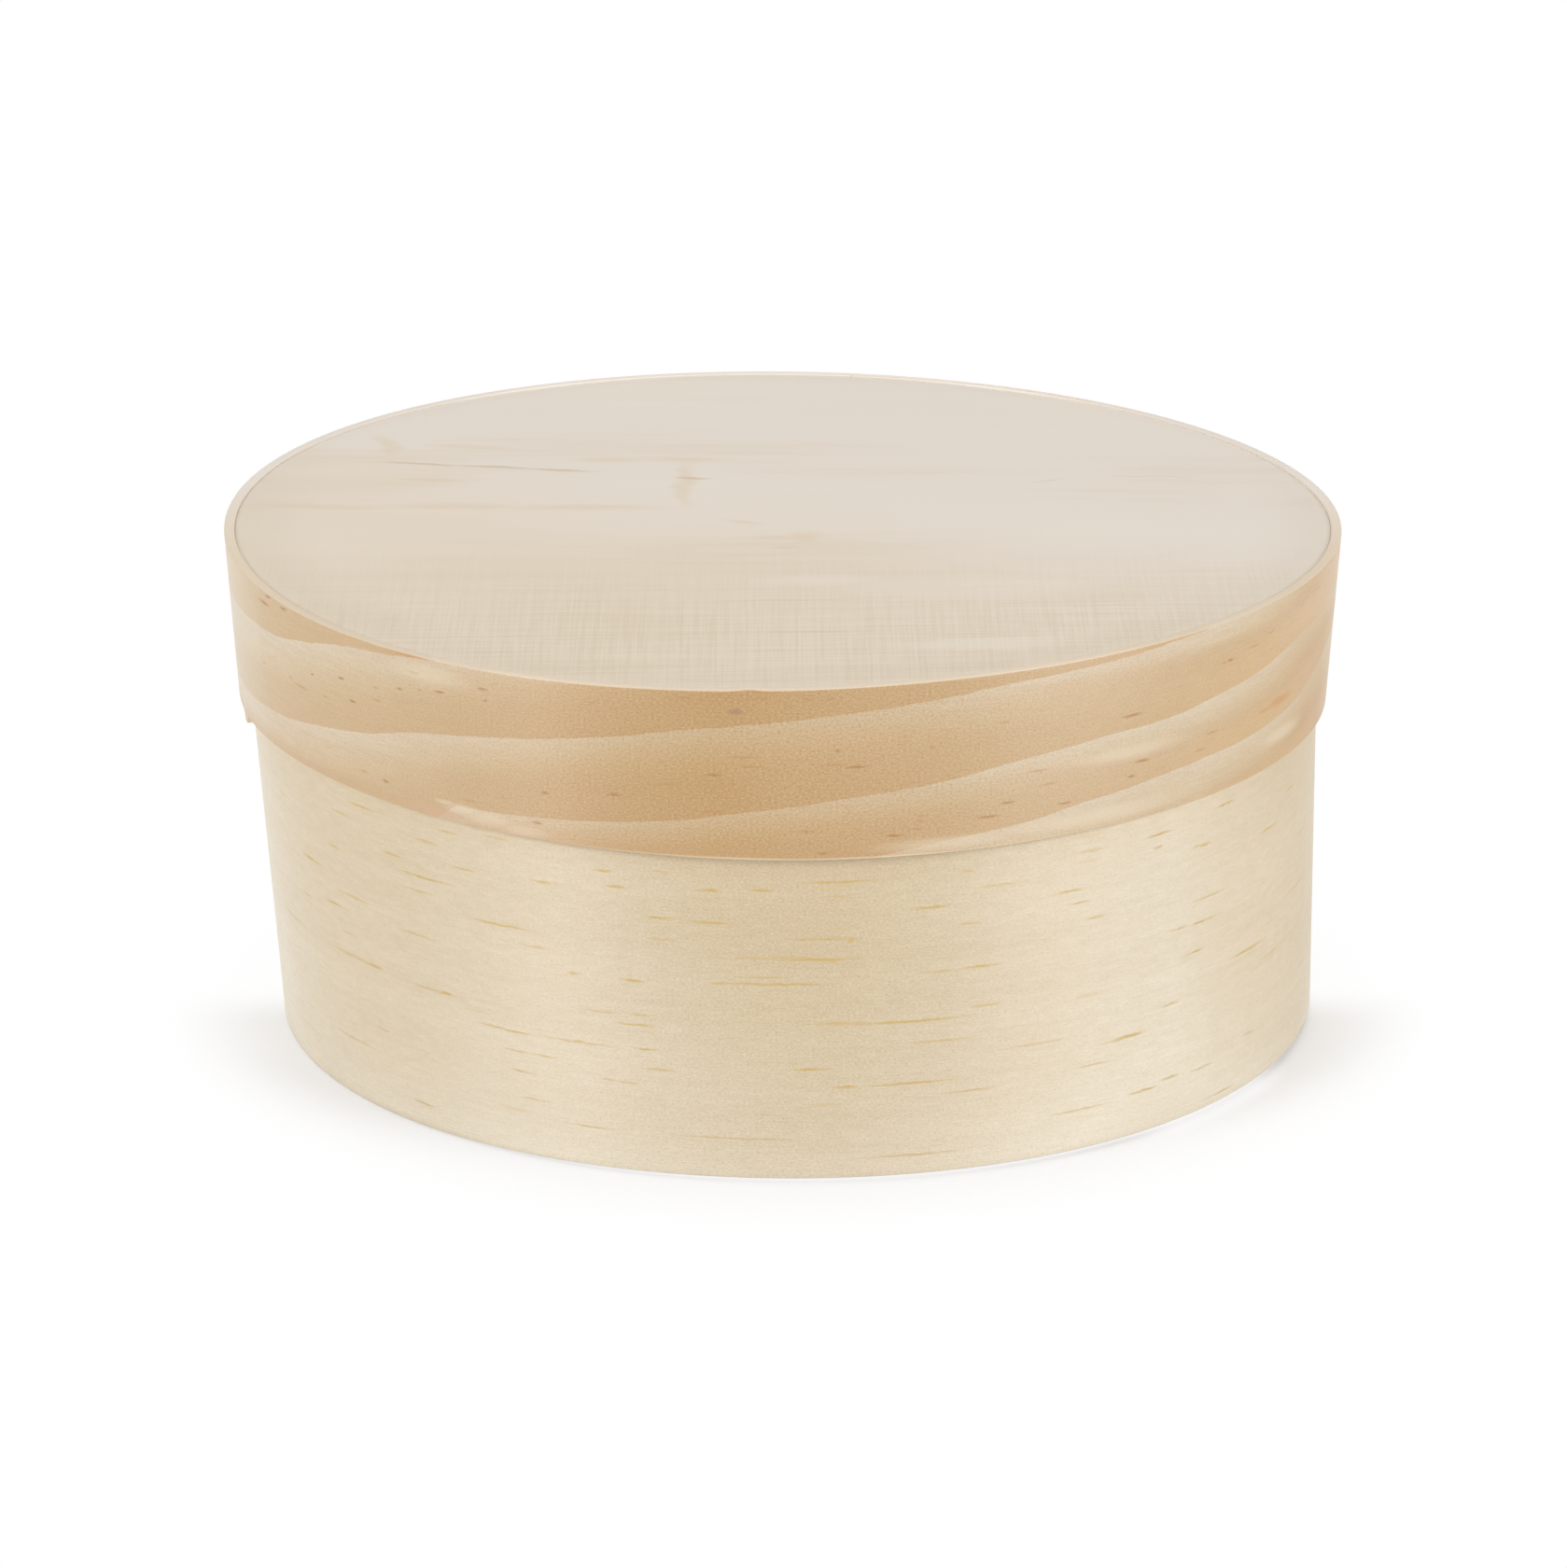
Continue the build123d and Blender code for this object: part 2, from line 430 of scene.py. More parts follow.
def read_marks(views, radius, centre, strip_radius):
    """Marks read off enlarged views of the photo, as angle, height, length and thickness in degrees
    and millimetres. A view is given by its left and top edge on the photo and how much it enlarges, and
    a mark by its two ends in the view, in pixels, and its thickness. The ray through each end meets the
    wall where its distance from the wall's centre equals the wall's radius, which gives a quadratic
    equation for its depth. It is solved again with the radius at the height found until that settles."""
    ends = np.array([[[left + x / zoom, top + y / zoom] for x, y in (mark[:2], mark[2:4])]
                     for (left, top, zoom), marks in views for mark in marks])
    across = (ends[..., 0] - photo_middle[0]) / photo_focus
    up = (photo_middle[1] - ends[..., 1]) / photo_focus
    level = math.cos(camera_tilt)
    drop = math.sin(camera_tilt)
    ahead = up * drop + level
    back = camera_distance * level
    z = camera_aim + 0 * up
    for _ in range(6):
        middle = centre(z) - camera_side
        square = across ** 2 + ahead ** 2
        linear = across * middle + ahead * back
        constant = middle ** 2 + back ** 2 - radius(z) ** 2
        depth = (linear - np.sqrt(linear ** 2 - square * constant)) / square
        z = camera_aim + up * depth * level - (depth - camera_distance) * drop
    angle = np.arctan2(ahead * depth - back, across * depth - centre(z) + camera_side)
    length = np.abs(angle[:, 1] - angle[:, 0]) * strip_radius
    thickness = np.array([mark[4] for _, marks in views for mark in marks])
    read = [np.degrees(angle.mean(axis=1)), z.mean(axis=1) - lift, length, thickness]
    return np.stack(read, axis=-1).tolist()


base_strip_radius = 58.0
base_left_view = (280, 860, 5.6)
base_middle_view = (500, 900, 5.6)
base_right_view = (1150, 880, 5.6)
base_front_view = (738, 853, 3.187)
base_flecks = read_marks([
    (base_left_view, [
        (520, 2, 660, 45, 0.45), (230, 290, 360, 380, 0.45), (720, 290, 850, 335, 0.45),
        (800, 395, 1160, 505, 0.42), (370, 570, 500, 640, 0.42), (640, 965, 720, 1000, 0.50),
        (1060, 1130, 1130, 1152, 0.40),
    ]),
    (base_middle_view, [
        (380, 245, 540, 265, 0.42), (750, 180, 880, 190, 0.42), (810, 275, 950, 285, 0.45),
        (1400, 300, 1520, 305, 0.40), (1060, 460, 1250, 475, 0.42), (0, 462, 420, 555, 0.42),
        (590, 790, 690, 810, 0.40), (920, 835, 1060, 855, 0.60), (870, 1100, 1160, 1118, 0.42),
        (150, 1115, 400, 1180, 0.42), (380, 1285, 530, 1308, 0.42), (1000, 1250, 1150, 1265, 0.38),
        (640, 1200, 700, 1215, 0.40),
    ]),
    (base_right_view, [
        (420, 95, 600, 60, 0.45), (480, 165, 540, 145, 0.55), (760, 145, 815, 130, 0.50),
        (1110, 70, 1230, 5, 0.50), (690, 625, 850, 570, 0.45), (660, 800, 800, 765, 0.42),
        (920, 830, 1160, 700, 0.50), (240, 1305, 420, 1270, 0.42),
    ]),
    (base_front_view, [
        (0, 428, 145, 438, 0.45), (350, 297, 650, 287, 0.38), (195, 322, 305, 325, 0.42),
        (315, 482, 560, 495, 0.42), (290, 555, 575, 560, 0.50), (85, 638, 480, 642, 0.42),
        (750, 380, 895, 378, 0.45), (1230, 328, 1370, 322, 0.40), (1280, 372, 1380, 358, 0.42),
        (920, 588, 1070, 573, 0.40), (530, 777, 970, 753, 0.42), (340, 935, 480, 935, 0.42),
        (490, 997, 570, 993, 0.42), (560, 993, 930, 963, 0.36), (1490, 1018, 1600, 995, 0.42),
    ]),
], base_radius, base_centre, base_strip_radius) + [
    (-21.6, 31.0, 3.4, 0.45), (-37.5, 33.9, 4.0, 0.40), (-83.6, 26.8, 0.9, 0.80), (-85.6, 24.6, 1.3, 0.80),
]
base_faint_flecks = read_marks([
    (base_left_view, [
        (390, 20, 540, 100, 0.40), (390, 240, 480, 290, 0.50), (880, 200, 1060, 258, 0.50),
        (1050, 160, 1170, 195, 0.45), (820, 490, 1020, 560, 0.42), (1110, 375, 1290, 420, 0.42),
        (1310, 190, 1480, 230, 0.42), (430, 520, 670, 610, 0.45), (230, 520, 310, 580, 0.40),
        (130, 620, 260, 740, 0.45), (470, 760, 570, 810, 0.42), (800, 745, 1060, 835, 0.42),
        (400, 850, 740, 1000, 0.50), (860, 1070, 1200, 1175, 0.42), (430, 1340, 700, 1490, 0.42),
        (680, 1345, 780, 1380, 0.40),
    ]),
    (base_middle_view, [
        (1090, 190, 1230, 190, 0.40), (1070, 595, 1260, 600, 0.40), (310, 625, 510, 660, 0.42),
        (1450, 860, 1568, 862, 0.40), (690, 1015, 920, 1050, 0.40), (50, 1080, 250, 1150, 0.45),
        (400, 1180, 900, 1235, 0.40), (200, 1240, 400, 1290, 0.42), (240, 1365, 440, 1415, 0.45),
        (1040, 1365, 1270, 1395, 0.40), (790, 1425, 900, 1450, 0.40), (900, 1450, 1050, 1470, 0.36),
        (1140, 400, 1200, 405, 0.40), (735, 478, 785, 490, 0.40), (960, 1040, 1100, 1060, 0.35),
    ]),
    (base_right_view, [
        (0, 190, 200, 160, 0.45), (700, 160, 770, 145, 0.40), (60, 590, 200, 560, 0.40),
        (700, 490, 920, 400, 0.45), (1260, 440, 1400, 290, 0.45), (570, 660, 690, 625, 0.40),
        (1110, 820, 1250, 745, 0.45), (520, 1110, 640, 1085, 0.40), (1010, 1290, 1080, 1250, 0.60),
        (700, 1500, 840, 1450, 0.40), (520, 1550, 640, 1520, 0.45), (0, 1480, 220, 1440, 0.35),
    ]),
    (base_front_view, [
        (0, 325, 110, 322, 0.40), (915, 257, 985, 254, 0.42), (985, 312, 1140, 295, 0.42),
        (915, 435, 1010, 433, 0.40), (790, 605, 930, 590, 0.38), (380, 775, 640, 775, 0.50),
        (730, 842, 990, 825, 0.42), (850, 1012, 1060, 997, 0.42), (945, 718, 1070, 712, 0.42),
        (1070, 865, 1300, 825, 0.35), (1400, 840, 1568, 812, 0.42), (1340, 190, 1420, 180, 0.40),
        (250, 545, 420, 556, 0.50), (150, 555, 300, 553, 0.35), (140, 625, 360, 615, 0.35),
        (440, 345, 560, 340, 0.35),
    ]),
], base_radius, base_centre, base_strip_radius) + [
    (-157.8, 30.3, 4.0, 0.40), (-17.0, 24.5, 4.0, 0.35), (-78.0, 2.4, 12.0, 0.40), (-96.0, 4.6, 16.0, 0.30),
    (-112.0, 4.4, 6.0, 0.35), (-58.8, 4.7, 8.0, 0.40), (-133.4, 2.4, 4.6, 0.40), (-38.0, 1.2, 7.0, 0.35),
    (-118.0, 6.4, 4.6, 0.35),
]
# How pale the strip's wood is along it, as angle and share: partly the wood's own paler and deeper zones,
# partly painted highlight where the satin shine and the sheen at a flat angle fall. Towards the foot it is
# painted paler still, as painted light from the white table.
paleness = [(118, 0.5), (150, 0.3), (180, 1.3), (192, 1.1), (202, 0.60), (210, 0.37), (218, 0.38), (226, 0.43),
            (234, 0.62), (242, 0.52), (250, 0.50), (258, 0.36), (266, 0.17), (274, 0.10), (282, 0.33),
            (290, 0.50), (298, 0.64), (306, 0.92), (314, 1.08), (322, 0.66), (330, 0.42), (338, 0.12),
            (343, 0.02), (350, 0.10), (380, 0.4), (478, 0.5)]

base_columns = strip_columns(base_strip_radius, base_lap_angle, veneer)
base_loop = section_loop(72, 30)
base_hoop_points = bent_strip(base_columns, base_loop, foot_height, base_rim, base_radius, base_thickness,
                              base_centre)
base_hoop = make_piece("base_hoop_veneer", base_hoop_points)
note_strip(base_hoop, base_columns, base_loop, base_hoop_points, base_strip_radius, foot_height)
base_z = base_hoop_points[..., 2]
base_turn = np.degrees(base_columns[0])[:, None] + 0 * base_z
# Painted light: the strip is painted paler towards the foot, where the white table lights it from below.
painted_bounce_light = 0.25 - 0.010 * base_z + 0.75 * np.exp(-base_z / 5)
note(base_hoop, "paleness", along_turn(base_turn, paleness) + painted_bounce_light)
# Painted shade along the foot's edge, a dark contact strip where it meets the table: all round, and most at the
# left.
beside_darkest_shade = np.maximum(np.abs(base_turn - 208) - 14, 0)
note(base_hoop, "foot_gloom", 0.25 * bell(beside_darkest_shade, 0, 16) + 0.1)
note(base_hoop, "crisp", 0.22 + 0.78 * bell(base_turn, 270, 36))

base_wood = Finish("pale_pine_veneer")
strip = base_wood.noted("strip", 1)
ragged = base_wood.shaken(strip, (700, 2500, 300), (0.0016, 0.00030, 0))
fibres = base_wood.noise(strip, (90, 5200, 400), 3.0, 0.6)
pores = base_wood.noise(strip, (1500, 5200, 900), 2.0, 0.6)
streaks = base_wood.noise(strip, (14, 330, 100), 3.0, 0.55)
clouds = base_wood.noise(strip, (26, 60, 100), 2.0, 0.5)
mottle = base_wood.noise(strip, (420, 1500, 300), 3.0, 0.65)
# The noted paleness holds the wood's own tone, painted highlight and painted light from the table.
tone = (mottle - 0.5) * 0.9 + (streaks - 0.5) * 0.5 + (clouds - 0.5) * 0.6 + base_wood.noted("paleness")
base_wood.colour = base_wood.mix(tone * 0.667, paint(208, 187, 151), paint(241, 230, 209))
fine = (fibres - 0.5) * 0.30 + (pores - 0.5) * 0.35 + 0.5
base_wood.coat(base_wood.passage(fine, 0.36, 0.64) * 0.32, 202, 181, 143)
crisp_grain(base_wood, strip, 0.50, (184, 156, 112), 0.40, (240, 228, 204))
base_wood.coat(base_wood.flecks(ragged, (0.017, 0.0019, 0.01), 0.17, 0.45) * 0.34, 214, 180, 112)
broken = base_wood.passage(base_wood.noise(strip, (800, 3200, 300), 2.0, 0.6), 0.30, 0.55) * 0.55 + 0.45
for marks, share, colour in [(base_faint_flecks, 0.80, (205, 175, 110)), (base_flecks, 0.95, (203, 169, 84))]:
    fleck = base_wood.spots(ragged, on_strip(base_strip_radius, marks)) * broken
    base_wood.coat(fleck * share, *colour)
base_wood.coat(base_wood.noted("cut_edge") * 0.6, 214, 194, 156)
# Painted shade: the strip's lowest few tenths of a millimetre are darkened as a contact shadow over the table.
at_foot = 1 - base_wood.passage(base_wood.noted("above_edge"), 0.0001, 0.0007)
base_wood.coat(at_foot * base_wood.noted("foot_gloom"), 198, 176, 142)
base_hoop.data.materials.append(planed(base_wood, fibres, pores))
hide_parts("base_hoop")
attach(base_hoop, "base")

# The glue in the base's lap is a thin film of pale yellow wood glue along the slant. It shows as a
# narrow upright line where each of the strip's ends stops.

film_short = 0.02                # how far a film stops short of its strip's cut edges


def film_columns(radius, middle, thickness):
    """The cross-sections along the glue in a lap: in from the outside at one tip, along the slant and out
    on the inside at the other, as angles and cuts like the strip's."""
    start, end, blunt = lap_ends(radius, middle)
    slant = np.linspace(lap_tip, thickness - lap_tip, lap_steps)
    angle = np.concatenate([[start - blunt, start], np.linspace(start, end, lap_steps), [end, end + blunt]])
    outer_cut = np.concatenate([[0, 0], slant, [thickness - lap_tip] * 2])
    inner_cut = np.concatenate([[thickness - lap_tip - glue_line] * 2, thickness - slant - glue_line, [0, 0]])
    return angle, outer_cut, inner_cut


base_film_points = bent_strip(film_columns(base_strip_radius, base_lap_angle, veneer), section_loop(30, 30),
                              foot_height, base_rim, base_radius, base_thickness, base_centre, film_short)
base_hoop_glue = make_piece("base_lap_glue", base_film_points)

glue = Finish("dried_wood_glue")
glue_place = glue.place()
lumps = glue.noise(glue_place, (700, 700, 700), 3.0, 0.6)
drops = glue.noise(glue_place, (180, 180, 180), 2.0, 0.5)
glue.colour = glue.mix(glue.passage(lumps, 0.3, 0.7), paint(214, 190, 138), paint(228, 208, 162))
glue_finish = glue.surface(0.30 + (lumps - 0.5) * 0.2, lumps * 0.6 + drops * 0.4, 0.0002)
base_hoop_glue.data.materials.append(glue_finish)
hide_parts("base_hoop_glue")
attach(base_hoop_glue, "base")

# The base's board is thin plywood sawn round and pressed into the foot of the hoop: two face plies
# with their grain from left to right and a thicker core ply with its grain across it.

face_ply = 0.8
core_ply = 1.4
face_ease = 0.08                 # rounding of a face ply's edge
core_ease = 0.05
base_board_radius = 56.08
base_board_recess = 0.08
base_board_centre = float(base_centre(board / 2))
board_steps = 360
board_rings = 26


def make_ply(name, radius, centre, low, over, thickness, ease, flare=0.0):
    """A round ply, its points angle by profile: out along the lower face, up the edge with its two small
    roundings, and back along the upper face. The lower face lies over the board's by a given height. Both
    warp with the edge that holds the board, and the ply's edge flares with the hoop round it."""
    angle = np.linspace(0, 2 * np.pi, board_steps, endpoint=False)[:, None]
    turn = np.linspace(0, np.pi / 2, 4)[1:]
    face = np.linspace(1 / board_rings, 1, board_rings)
    flat = radius - ease
    out = np.concatenate([face * flat, flat + ease * np.sin(turn), flat + ease * np.cos(turn),
                          face[::-1][1:] * flat])[None, :]
    up = np.concatenate([0 * face, ease * (1 - np.cos(turn)), thickness - ease + ease * np.sin(turn),
                         0 * face[1:] + thickness])[None, :]
    z = low(angle, out / radius) + over + up
    return make_piece(name, round_points(centre, out * (1 + flare * up / radius), angle, z), True, "poles")


def ply_finish(name, pale, deep, streak, across, seed, roughness, fibre_share, depth, gloss):
    """A plywood face's finish: broad cloudy figure, long soft streaks along the grain, a faint hatch of
    the lathe knife across it, and fine fibres. The seed shifts the figure from board to board."""
    ply = Finish(name)
    moved = ply.node("ShaderNodeMapping", {}, {"Vector": ply.place(), "Location": (seed, 2 * seed, 0),
                                               "Rotation": (0, 0, math.radians(90) if across else 0)})
    broad = ply.noise(moved, (18, 34, 20), 2.0, 0.5)
    long_streaks = ply.noise(moved, (22, 300, 100), 3.0, 0.6)
    fibre = ply.noise(moved, (120, 4200, 1000), 2.0, 0.6)
    hatch = ply.noise(moved, (2400, 60, 100), 2.0, 0.6)
    tone = (broad - 0.5) * 1.6 + (long_streaks - 0.5) * 0.9 + 0.5
    ply.colour = ply.mix(ply.passage(tone, 0.05, 0.95), paint(*deep), paint(*pale))
    fine = (fibre - 0.5) * 0.3 + (hatch - 0.5) * 0.35 + 0.5
    ply.coat(ply.passage(fine, 0.35, 0.65) * 0.16, *streak)
    relief = fibre * fibre_share + hatch * (1 - fibre_share)
    return ply.surface(roughness + (fibre - 0.5) * 0.2, relief, depth, gloss)


def base_low(angle, share):
    """Height of the lower face of the base's board, just inside the foot and warped with it."""
    return foot_height(angle, share) + base_board_recess


plywood_face_finish = ply_finish("plywood_face", (228, 217, 200), (219, 204, 180), (200, 180, 150),
                                 False, 0.31, 0.58, 0.5, 0.00004, 0.35)
plywood_core_finish = ply_finish("plywood_core", (214, 194, 164), (196, 172, 138), (170, 140, 104),
                                 True, 0.17, 0.72, 0.7, 0.00012, 0.3)

base_bottom_ply = make_ply("base_board_bottom_ply", base_board_radius, base_board_centre, base_low,
                           0, face_ply, face_ease)
base_bottom_ply.data.materials.append(plywood_face_finish)
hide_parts("base_disc_bottom_ply")
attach(base_bottom_ply, "base")

base_core_ply = make_ply("base_board_core_ply", base_board_radius, base_board_centre, base_low,
                         face_ply, core_ply, core_ease)
base_core_ply.data.materials.append(plywood_core_finish)
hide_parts("base_disc_core_ply")
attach(base_core_ply, "base")

base_top_ply = make_ply("base_board_top_ply", base_board_radius, base_board_centre, base_low,
                        face_ply + core_ply, face_ply, face_ease)
base_top_ply.data.materials.append(plywood_face_finish)
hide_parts("base_disc_top_ply")
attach(base_top_ply, "base")

# The glue bead round the base's floor was run into the corner between the board and the hoop and
# has dried hollow, with a slightly uneven edge.

base_bead_leg = 1.2
base_bead_height = 4.0           # where the bead takes its centre from
bead_hollow = 0.33
bead_grip = 0.01                 # how far a bead reaches into the wall and the board
bead_share = 0.98                # share of the board's radius whose height the bead follows
bead_steps = 720


def make_bead(name, wall, centre, corner, leg, way):
    """A bead in the corner of a wall and a board, its points angle by loop: from the corner along the
    board, over a hollow curve and back down the wall. Both legs swell and thin slowly round the box, by
    the sum of three waves. The way is 1 over the board and -1 under it."""
    angle = np.linspace(0, 2 * np.pi, bead_steps, endpoint=False)[:, None]
    uneven = 1 + 0.10 * np.sin(7 * angle + 1) + 0.07 * np.sin(17 * angle) + 0.05 * np.sin(41 * angle + 2)
    bend = np.linspace(0, 1, 9)[None, :]
    curve = 1 - bead_hollow * np.sin(np.pi * bend)
    into = np.concatenate([[[0.0]], (1 - bend) * curve], axis=1)[:, ::way] * leg * uneven
    up = np.concatenate([[[0.0]], bend * curve], axis=1)[:, ::way] * leg * uneven
    z = corner(angle) + way * (up - bead_grip)
    return make_piece(name, round_points(centre, wall(z) - into + bead_grip, angle, z), True)


def base_inside(z):
    """Inside of the base's hoop."""
    return base_radius(z) - veneer


def base_corner(angle):
    """Height of the upper face of the base's board near its edge."""
    return base_low(angle, bead_share) + board


base_bead = make_bead("base_board_glue", base_inside, float(base_centre(base_bead_height)), base_corner,
                      base_bead_leg, 1)
base_bead.data.materials.append(glue_finish)
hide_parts("base_disc_glue")
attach(base_bead, "base")

# The lid's hoop is a lower, wider strip of warmer pine, cut through the growth rings so that they
# sweep across it in bands: each is pale just under its sharp edge and darkens down to the next.

lid_rim_radius = 61.0
lid_mouth_radius = 59.79
lid_mouth_height = 36.28 + lift
lid_centre = camera_side
lid_lap_angle = 68.0
lid_lap_thickness = 1.08         # the strip's thickness halfway up, which its lap is cut to
lid_strip_radius = 60.4
mouth_wave = (-0.122, -0.030, -0.073, 0.342, -0.195, -0.287)


def lid_share(z):
    """How far up the lid's hoop a height is: 0 at the mouth, 1 at the rim."""
    return (z - lid_mouth_height) / (lid_rim_height - lid_mouth_height)


def lid_radius(z):
    """Outside of the lid's hoop: a straight taper from the rim down to the mouth."""
    return lid_mouth_radius + (lid_rim_radius - lid_mouth_radius) * lid_share(z)


def lid_middle(z):
    """Sideways place of the lid's centre, the same at every height."""
    return lid_centre + 0 * z


def lid_thickness(share):
    """The strip is sanded a little thinner towards the mouth, where it slides over the base."""
    return 1.0 + 0.16 * share


def bulge(angle, middle, reach, rise):
    """A single swell of an edge, a bell of the given reach in degrees round its middle."""
    return rise * bell(np.degrees(angle) - 360, middle, reach)


def lid_mouth(angle):
    """Lower edge of the lid: its wave and, at the left, a nib of torn fibres that hangs down."""
    return lid_mouth_height + warp(angle, 1.0, mouth_wave) - bulge(angle, -166.8, 0.65, 1.25)


def lid_rim(angle):
    """Upper edge of the lid: its wave and, at the front, a splinter that has lifted a little."""
    return lid_rim_height + warp(angle, 1.0, rim_wave) + bulge(angle, -93.2, 1.3, 0.16)


# Each ring edge as angle along the strip and height; the seen half runs from 180 to 360 degrees.
ring_edges = [
    [(54, 50.5), (75, 53.0), (95, 56.5), (120, 60), (200, 66), (442, 95)],
    [(54, 43.5), (75, 45.5), (95, 47.6), (120, 48.9), (150, 49.2), (180, 49.2), (198, 49.6), (208, 50.1),
     (214, 51.3), (220, 52.6), (224, 53.1), (230, 53.6), (235, 54.4), (250, 57), (300, 64), (442, 80)],
    [(54, 33), (75, 34.5), (95, 37), (120, 39.2), (150, 40.0), (180, 40.0), (198, 40.4), (208, 41.2),
     (218, 42.8), (225, 44.0), (230, 45.4), (235, 46.2), (240, 46.9), (245, 47.5), (250, 48.3), (254, 49.0),
     (260, 50.1), (265, 50.7), (270, 51.3), (275, 51.9), (279, 52.3), (285, 53.0), (290, 53.7), (296, 54.2),
     (303, 54.5), (320, 55.6), (345, 57), (442, 72)],
    [(54, 22), (150, 30), (200, 32), (225, 34.5), (233.4, 35.8), (234.2, 38.5), (241, 38.6), (248, 39.0),
     (254, 39.5), (260, 40.2), (265, 41.1), (270, 41.8), (275, 42.6), (285, 43.8), (290, 44.8), (293, 45.3),
     (300, 46.1), (304, 46.5), (310, 46.6), (314, 46.9), (318, 47.4), (325, 48.0), (330, 48.8), (335, 49.7),
     (340, 50.0), (345, 50.4), (360, 52), (375, 54), (395, 57), (442, 63)],
    [(54, 12), (225, 29), (248, 32.5), (265, 34), (282, 36.8), (289, 37.9), (295, 38.5), (300, 39.4),
     (305, 39.9), (310, 40.4), (317, 40.9), (325, 41.1), (330, 41.5), (335, 42.1), (340, 43.3), (345, 44.6),
     (360, 47.5), (375, 50), (395, 53), (442, 58.5)],
    [(54, 2), (280, 28), (320, 33), (345, 35.5), (360, 38), (375, 41), (395, 45), (420, 49), (442, 52)],
    [(54, -8), (345, 28), (375, 34), (395, 37.5), (420, 42), (442, 45.5)],
]


def ring_number(angle, z):
    """How many ring edges lie above a point, with the share of the way to the next one: the height is
    set against the heights of all the edges at that angle, one pair of neighbours at a time. An edge's
    height is the mean of five readings round the angle, which rounds its corners."""
    turn = np.degrees(angle)
    heights = []
    for edge in ring_edges:
        beside = [along_turn(turn + step, edge) + lift for step in (-1.6, -0.8, 0.0, 0.8, 1.6)]
        heights.append(sum(beside) / len(beside))
    number = np.zeros_like(z)
    for upper, lower in zip(heights[:-1], heights[1:]):
        number = number + np.clip((upper - z) / np.maximum(upper - lower, 0.3), 0, 1)
    above = np.maximum(z - heights[0], 0) / 9.0
    return 1 + number - above


lid_left_view = (214, 563, 5.06)
lid_front_view = (738, 689, 3.815)
lid_right_view = (1132, 607, 5.026)
lid_marks = read_marks([
    (lid_left_view, [
        (310, 405, 375, 430, 0.50), (345, 370, 380, 400, 0.50), (1265, 893, 1325, 912, 0.45),
        (740, 825, 775, 828, 0.45), (805, 945, 840, 960, 0.45), (425, 435, 465, 465, 0.40),
        (1060, 880, 1095, 890, 0.40), (590, 790, 610, 820, 0.40), (1490, 880, 1568, 893, 0.40),
        (1530, 945, 1560, 955, 0.40),
    ]),
    (lid_front_view, [
        (60, 538, 140, 540, 0.35), (595, 437, 620, 443, 0.40), (640, 505, 725, 507, 0.38),
        (1270, 652, 1335, 652, 0.40), (1170, 712, 1275, 708, 0.38), (800, 787, 875, 787, 0.42),
        (520, 855, 560, 865, 0.40),
    ]),
    (lid_right_view, [
        (340, 815, 470, 785, 0.50), (920, 500, 945, 505, 0.45), (420, 1050, 505, 1038, 0.42),
        (380, 1130, 425, 1128, 0.42),
    ]),
], lid_radius, lid_middle, lid_strip_radius) + [
    (-106.5, 42.5, 1.6, 0.50), (-61.2, 39.8, 1.7, 0.40), (-113.8, 41.8, 1.3, 0.50), (-133.5, 39.1, 1.0, 0.50),
    (-114.8, 38.3, 1.2, 0.45),
]
lid_faint_marks = read_marks([
    (lid_left_view, [
        (475, 800, 500, 850, 0.40), (500, 880, 580, 862, 0.50), (660, 915, 690, 940, 0.40),
        (930, 870, 965, 885, 0.40), (1170, 885, 1195, 895, 0.40), (930, 940, 980, 955, 0.40),
        (335, 740, 352, 752, 0.40),
    ]),
    (lid_front_view, [
        (470, 228, 510, 231, 0.35), (545, 230, 600, 232, 0.35), (150, 465, 300, 468, 0.35),
        (190, 505, 320, 507, 0.35), (545, 495, 640, 500, 0.40), (970, 425, 1010, 425, 0.35),
        (1250, 325, 1310, 325, 0.35), (1370, 525, 1465, 522, 0.38), (1420, 580, 1520, 572, 0.38),
        (920, 707, 970, 705, 0.35), (910, 730, 970, 727, 0.35), (900, 762, 960, 760, 0.35),
        (440, 770, 520, 773, 0.35), (30, 690, 160, 690, 0.35), (280, 228, 330, 225, 0.30),
    ]),
    (lid_right_view, [
        (890, 520, 920, 515, 0.40), (1140, 345, 1175, 355, 0.40), (1030, 430, 1100, 420, 0.40),
        (1310, 210, 1330, 205, 0.40), (800, 900, 870, 885, 0.40), (740, 990, 800, 985, 0.40),
        (1345, 455, 1362, 470, 0.40),
    ]),
], lid_radius, lid_middle, lid_strip_radius) + [
    (-101.0, 44.1, 2.0, 0.35), (-109.5, 44.3, 1.6, 0.30), (-118.5, 40.5, 1.2, 0.30), (-122.5, 39.4, 2.0, 0.30),
    (-136.8, 39.4, 1.6, 0.35), (-108.5, 52.4, 1.6, 0.35), (-99.5, 53.7, 1.8, 0.35), (-20.5, 53.3, 2.2, 0.40),
]
lid_resin = [(-29.2, 43.4, 6.4, 1.4), (-32.5, 43.2, 3.0, 0.5), (-129.0, 54.2, 6.0, 0.9),
             (-142.0, 54.7, 2.4, 0.3), (-92.3, 54.5, 2.0, 0.34)]
lid_knot = [(-94.5, 52.3, 1.6, 0.9)]
lid_pale_marks = [(-125.6, 38.6, 3.4, 0.8), (-123.4, 38.2, 5.4, 1.7), (-120.4, 37.7, 6.4, 2.1),
                  (-116.4, 37.1, 6.4, 1.7)]
lid_pale_washes = [(-53.0, 44.0, 16.0, 2.4), (-56.0, 37.6, 28.0, 2.6), (-74.0, 37.2, 16.0, 2.0),
                   (-127.0, 52.5, 11.0, 3.0), (-28.0, 39.4, 11.0, 2.4)]
lid_tongue = [(-127.3, 37.3, 8.6, 1.7)]
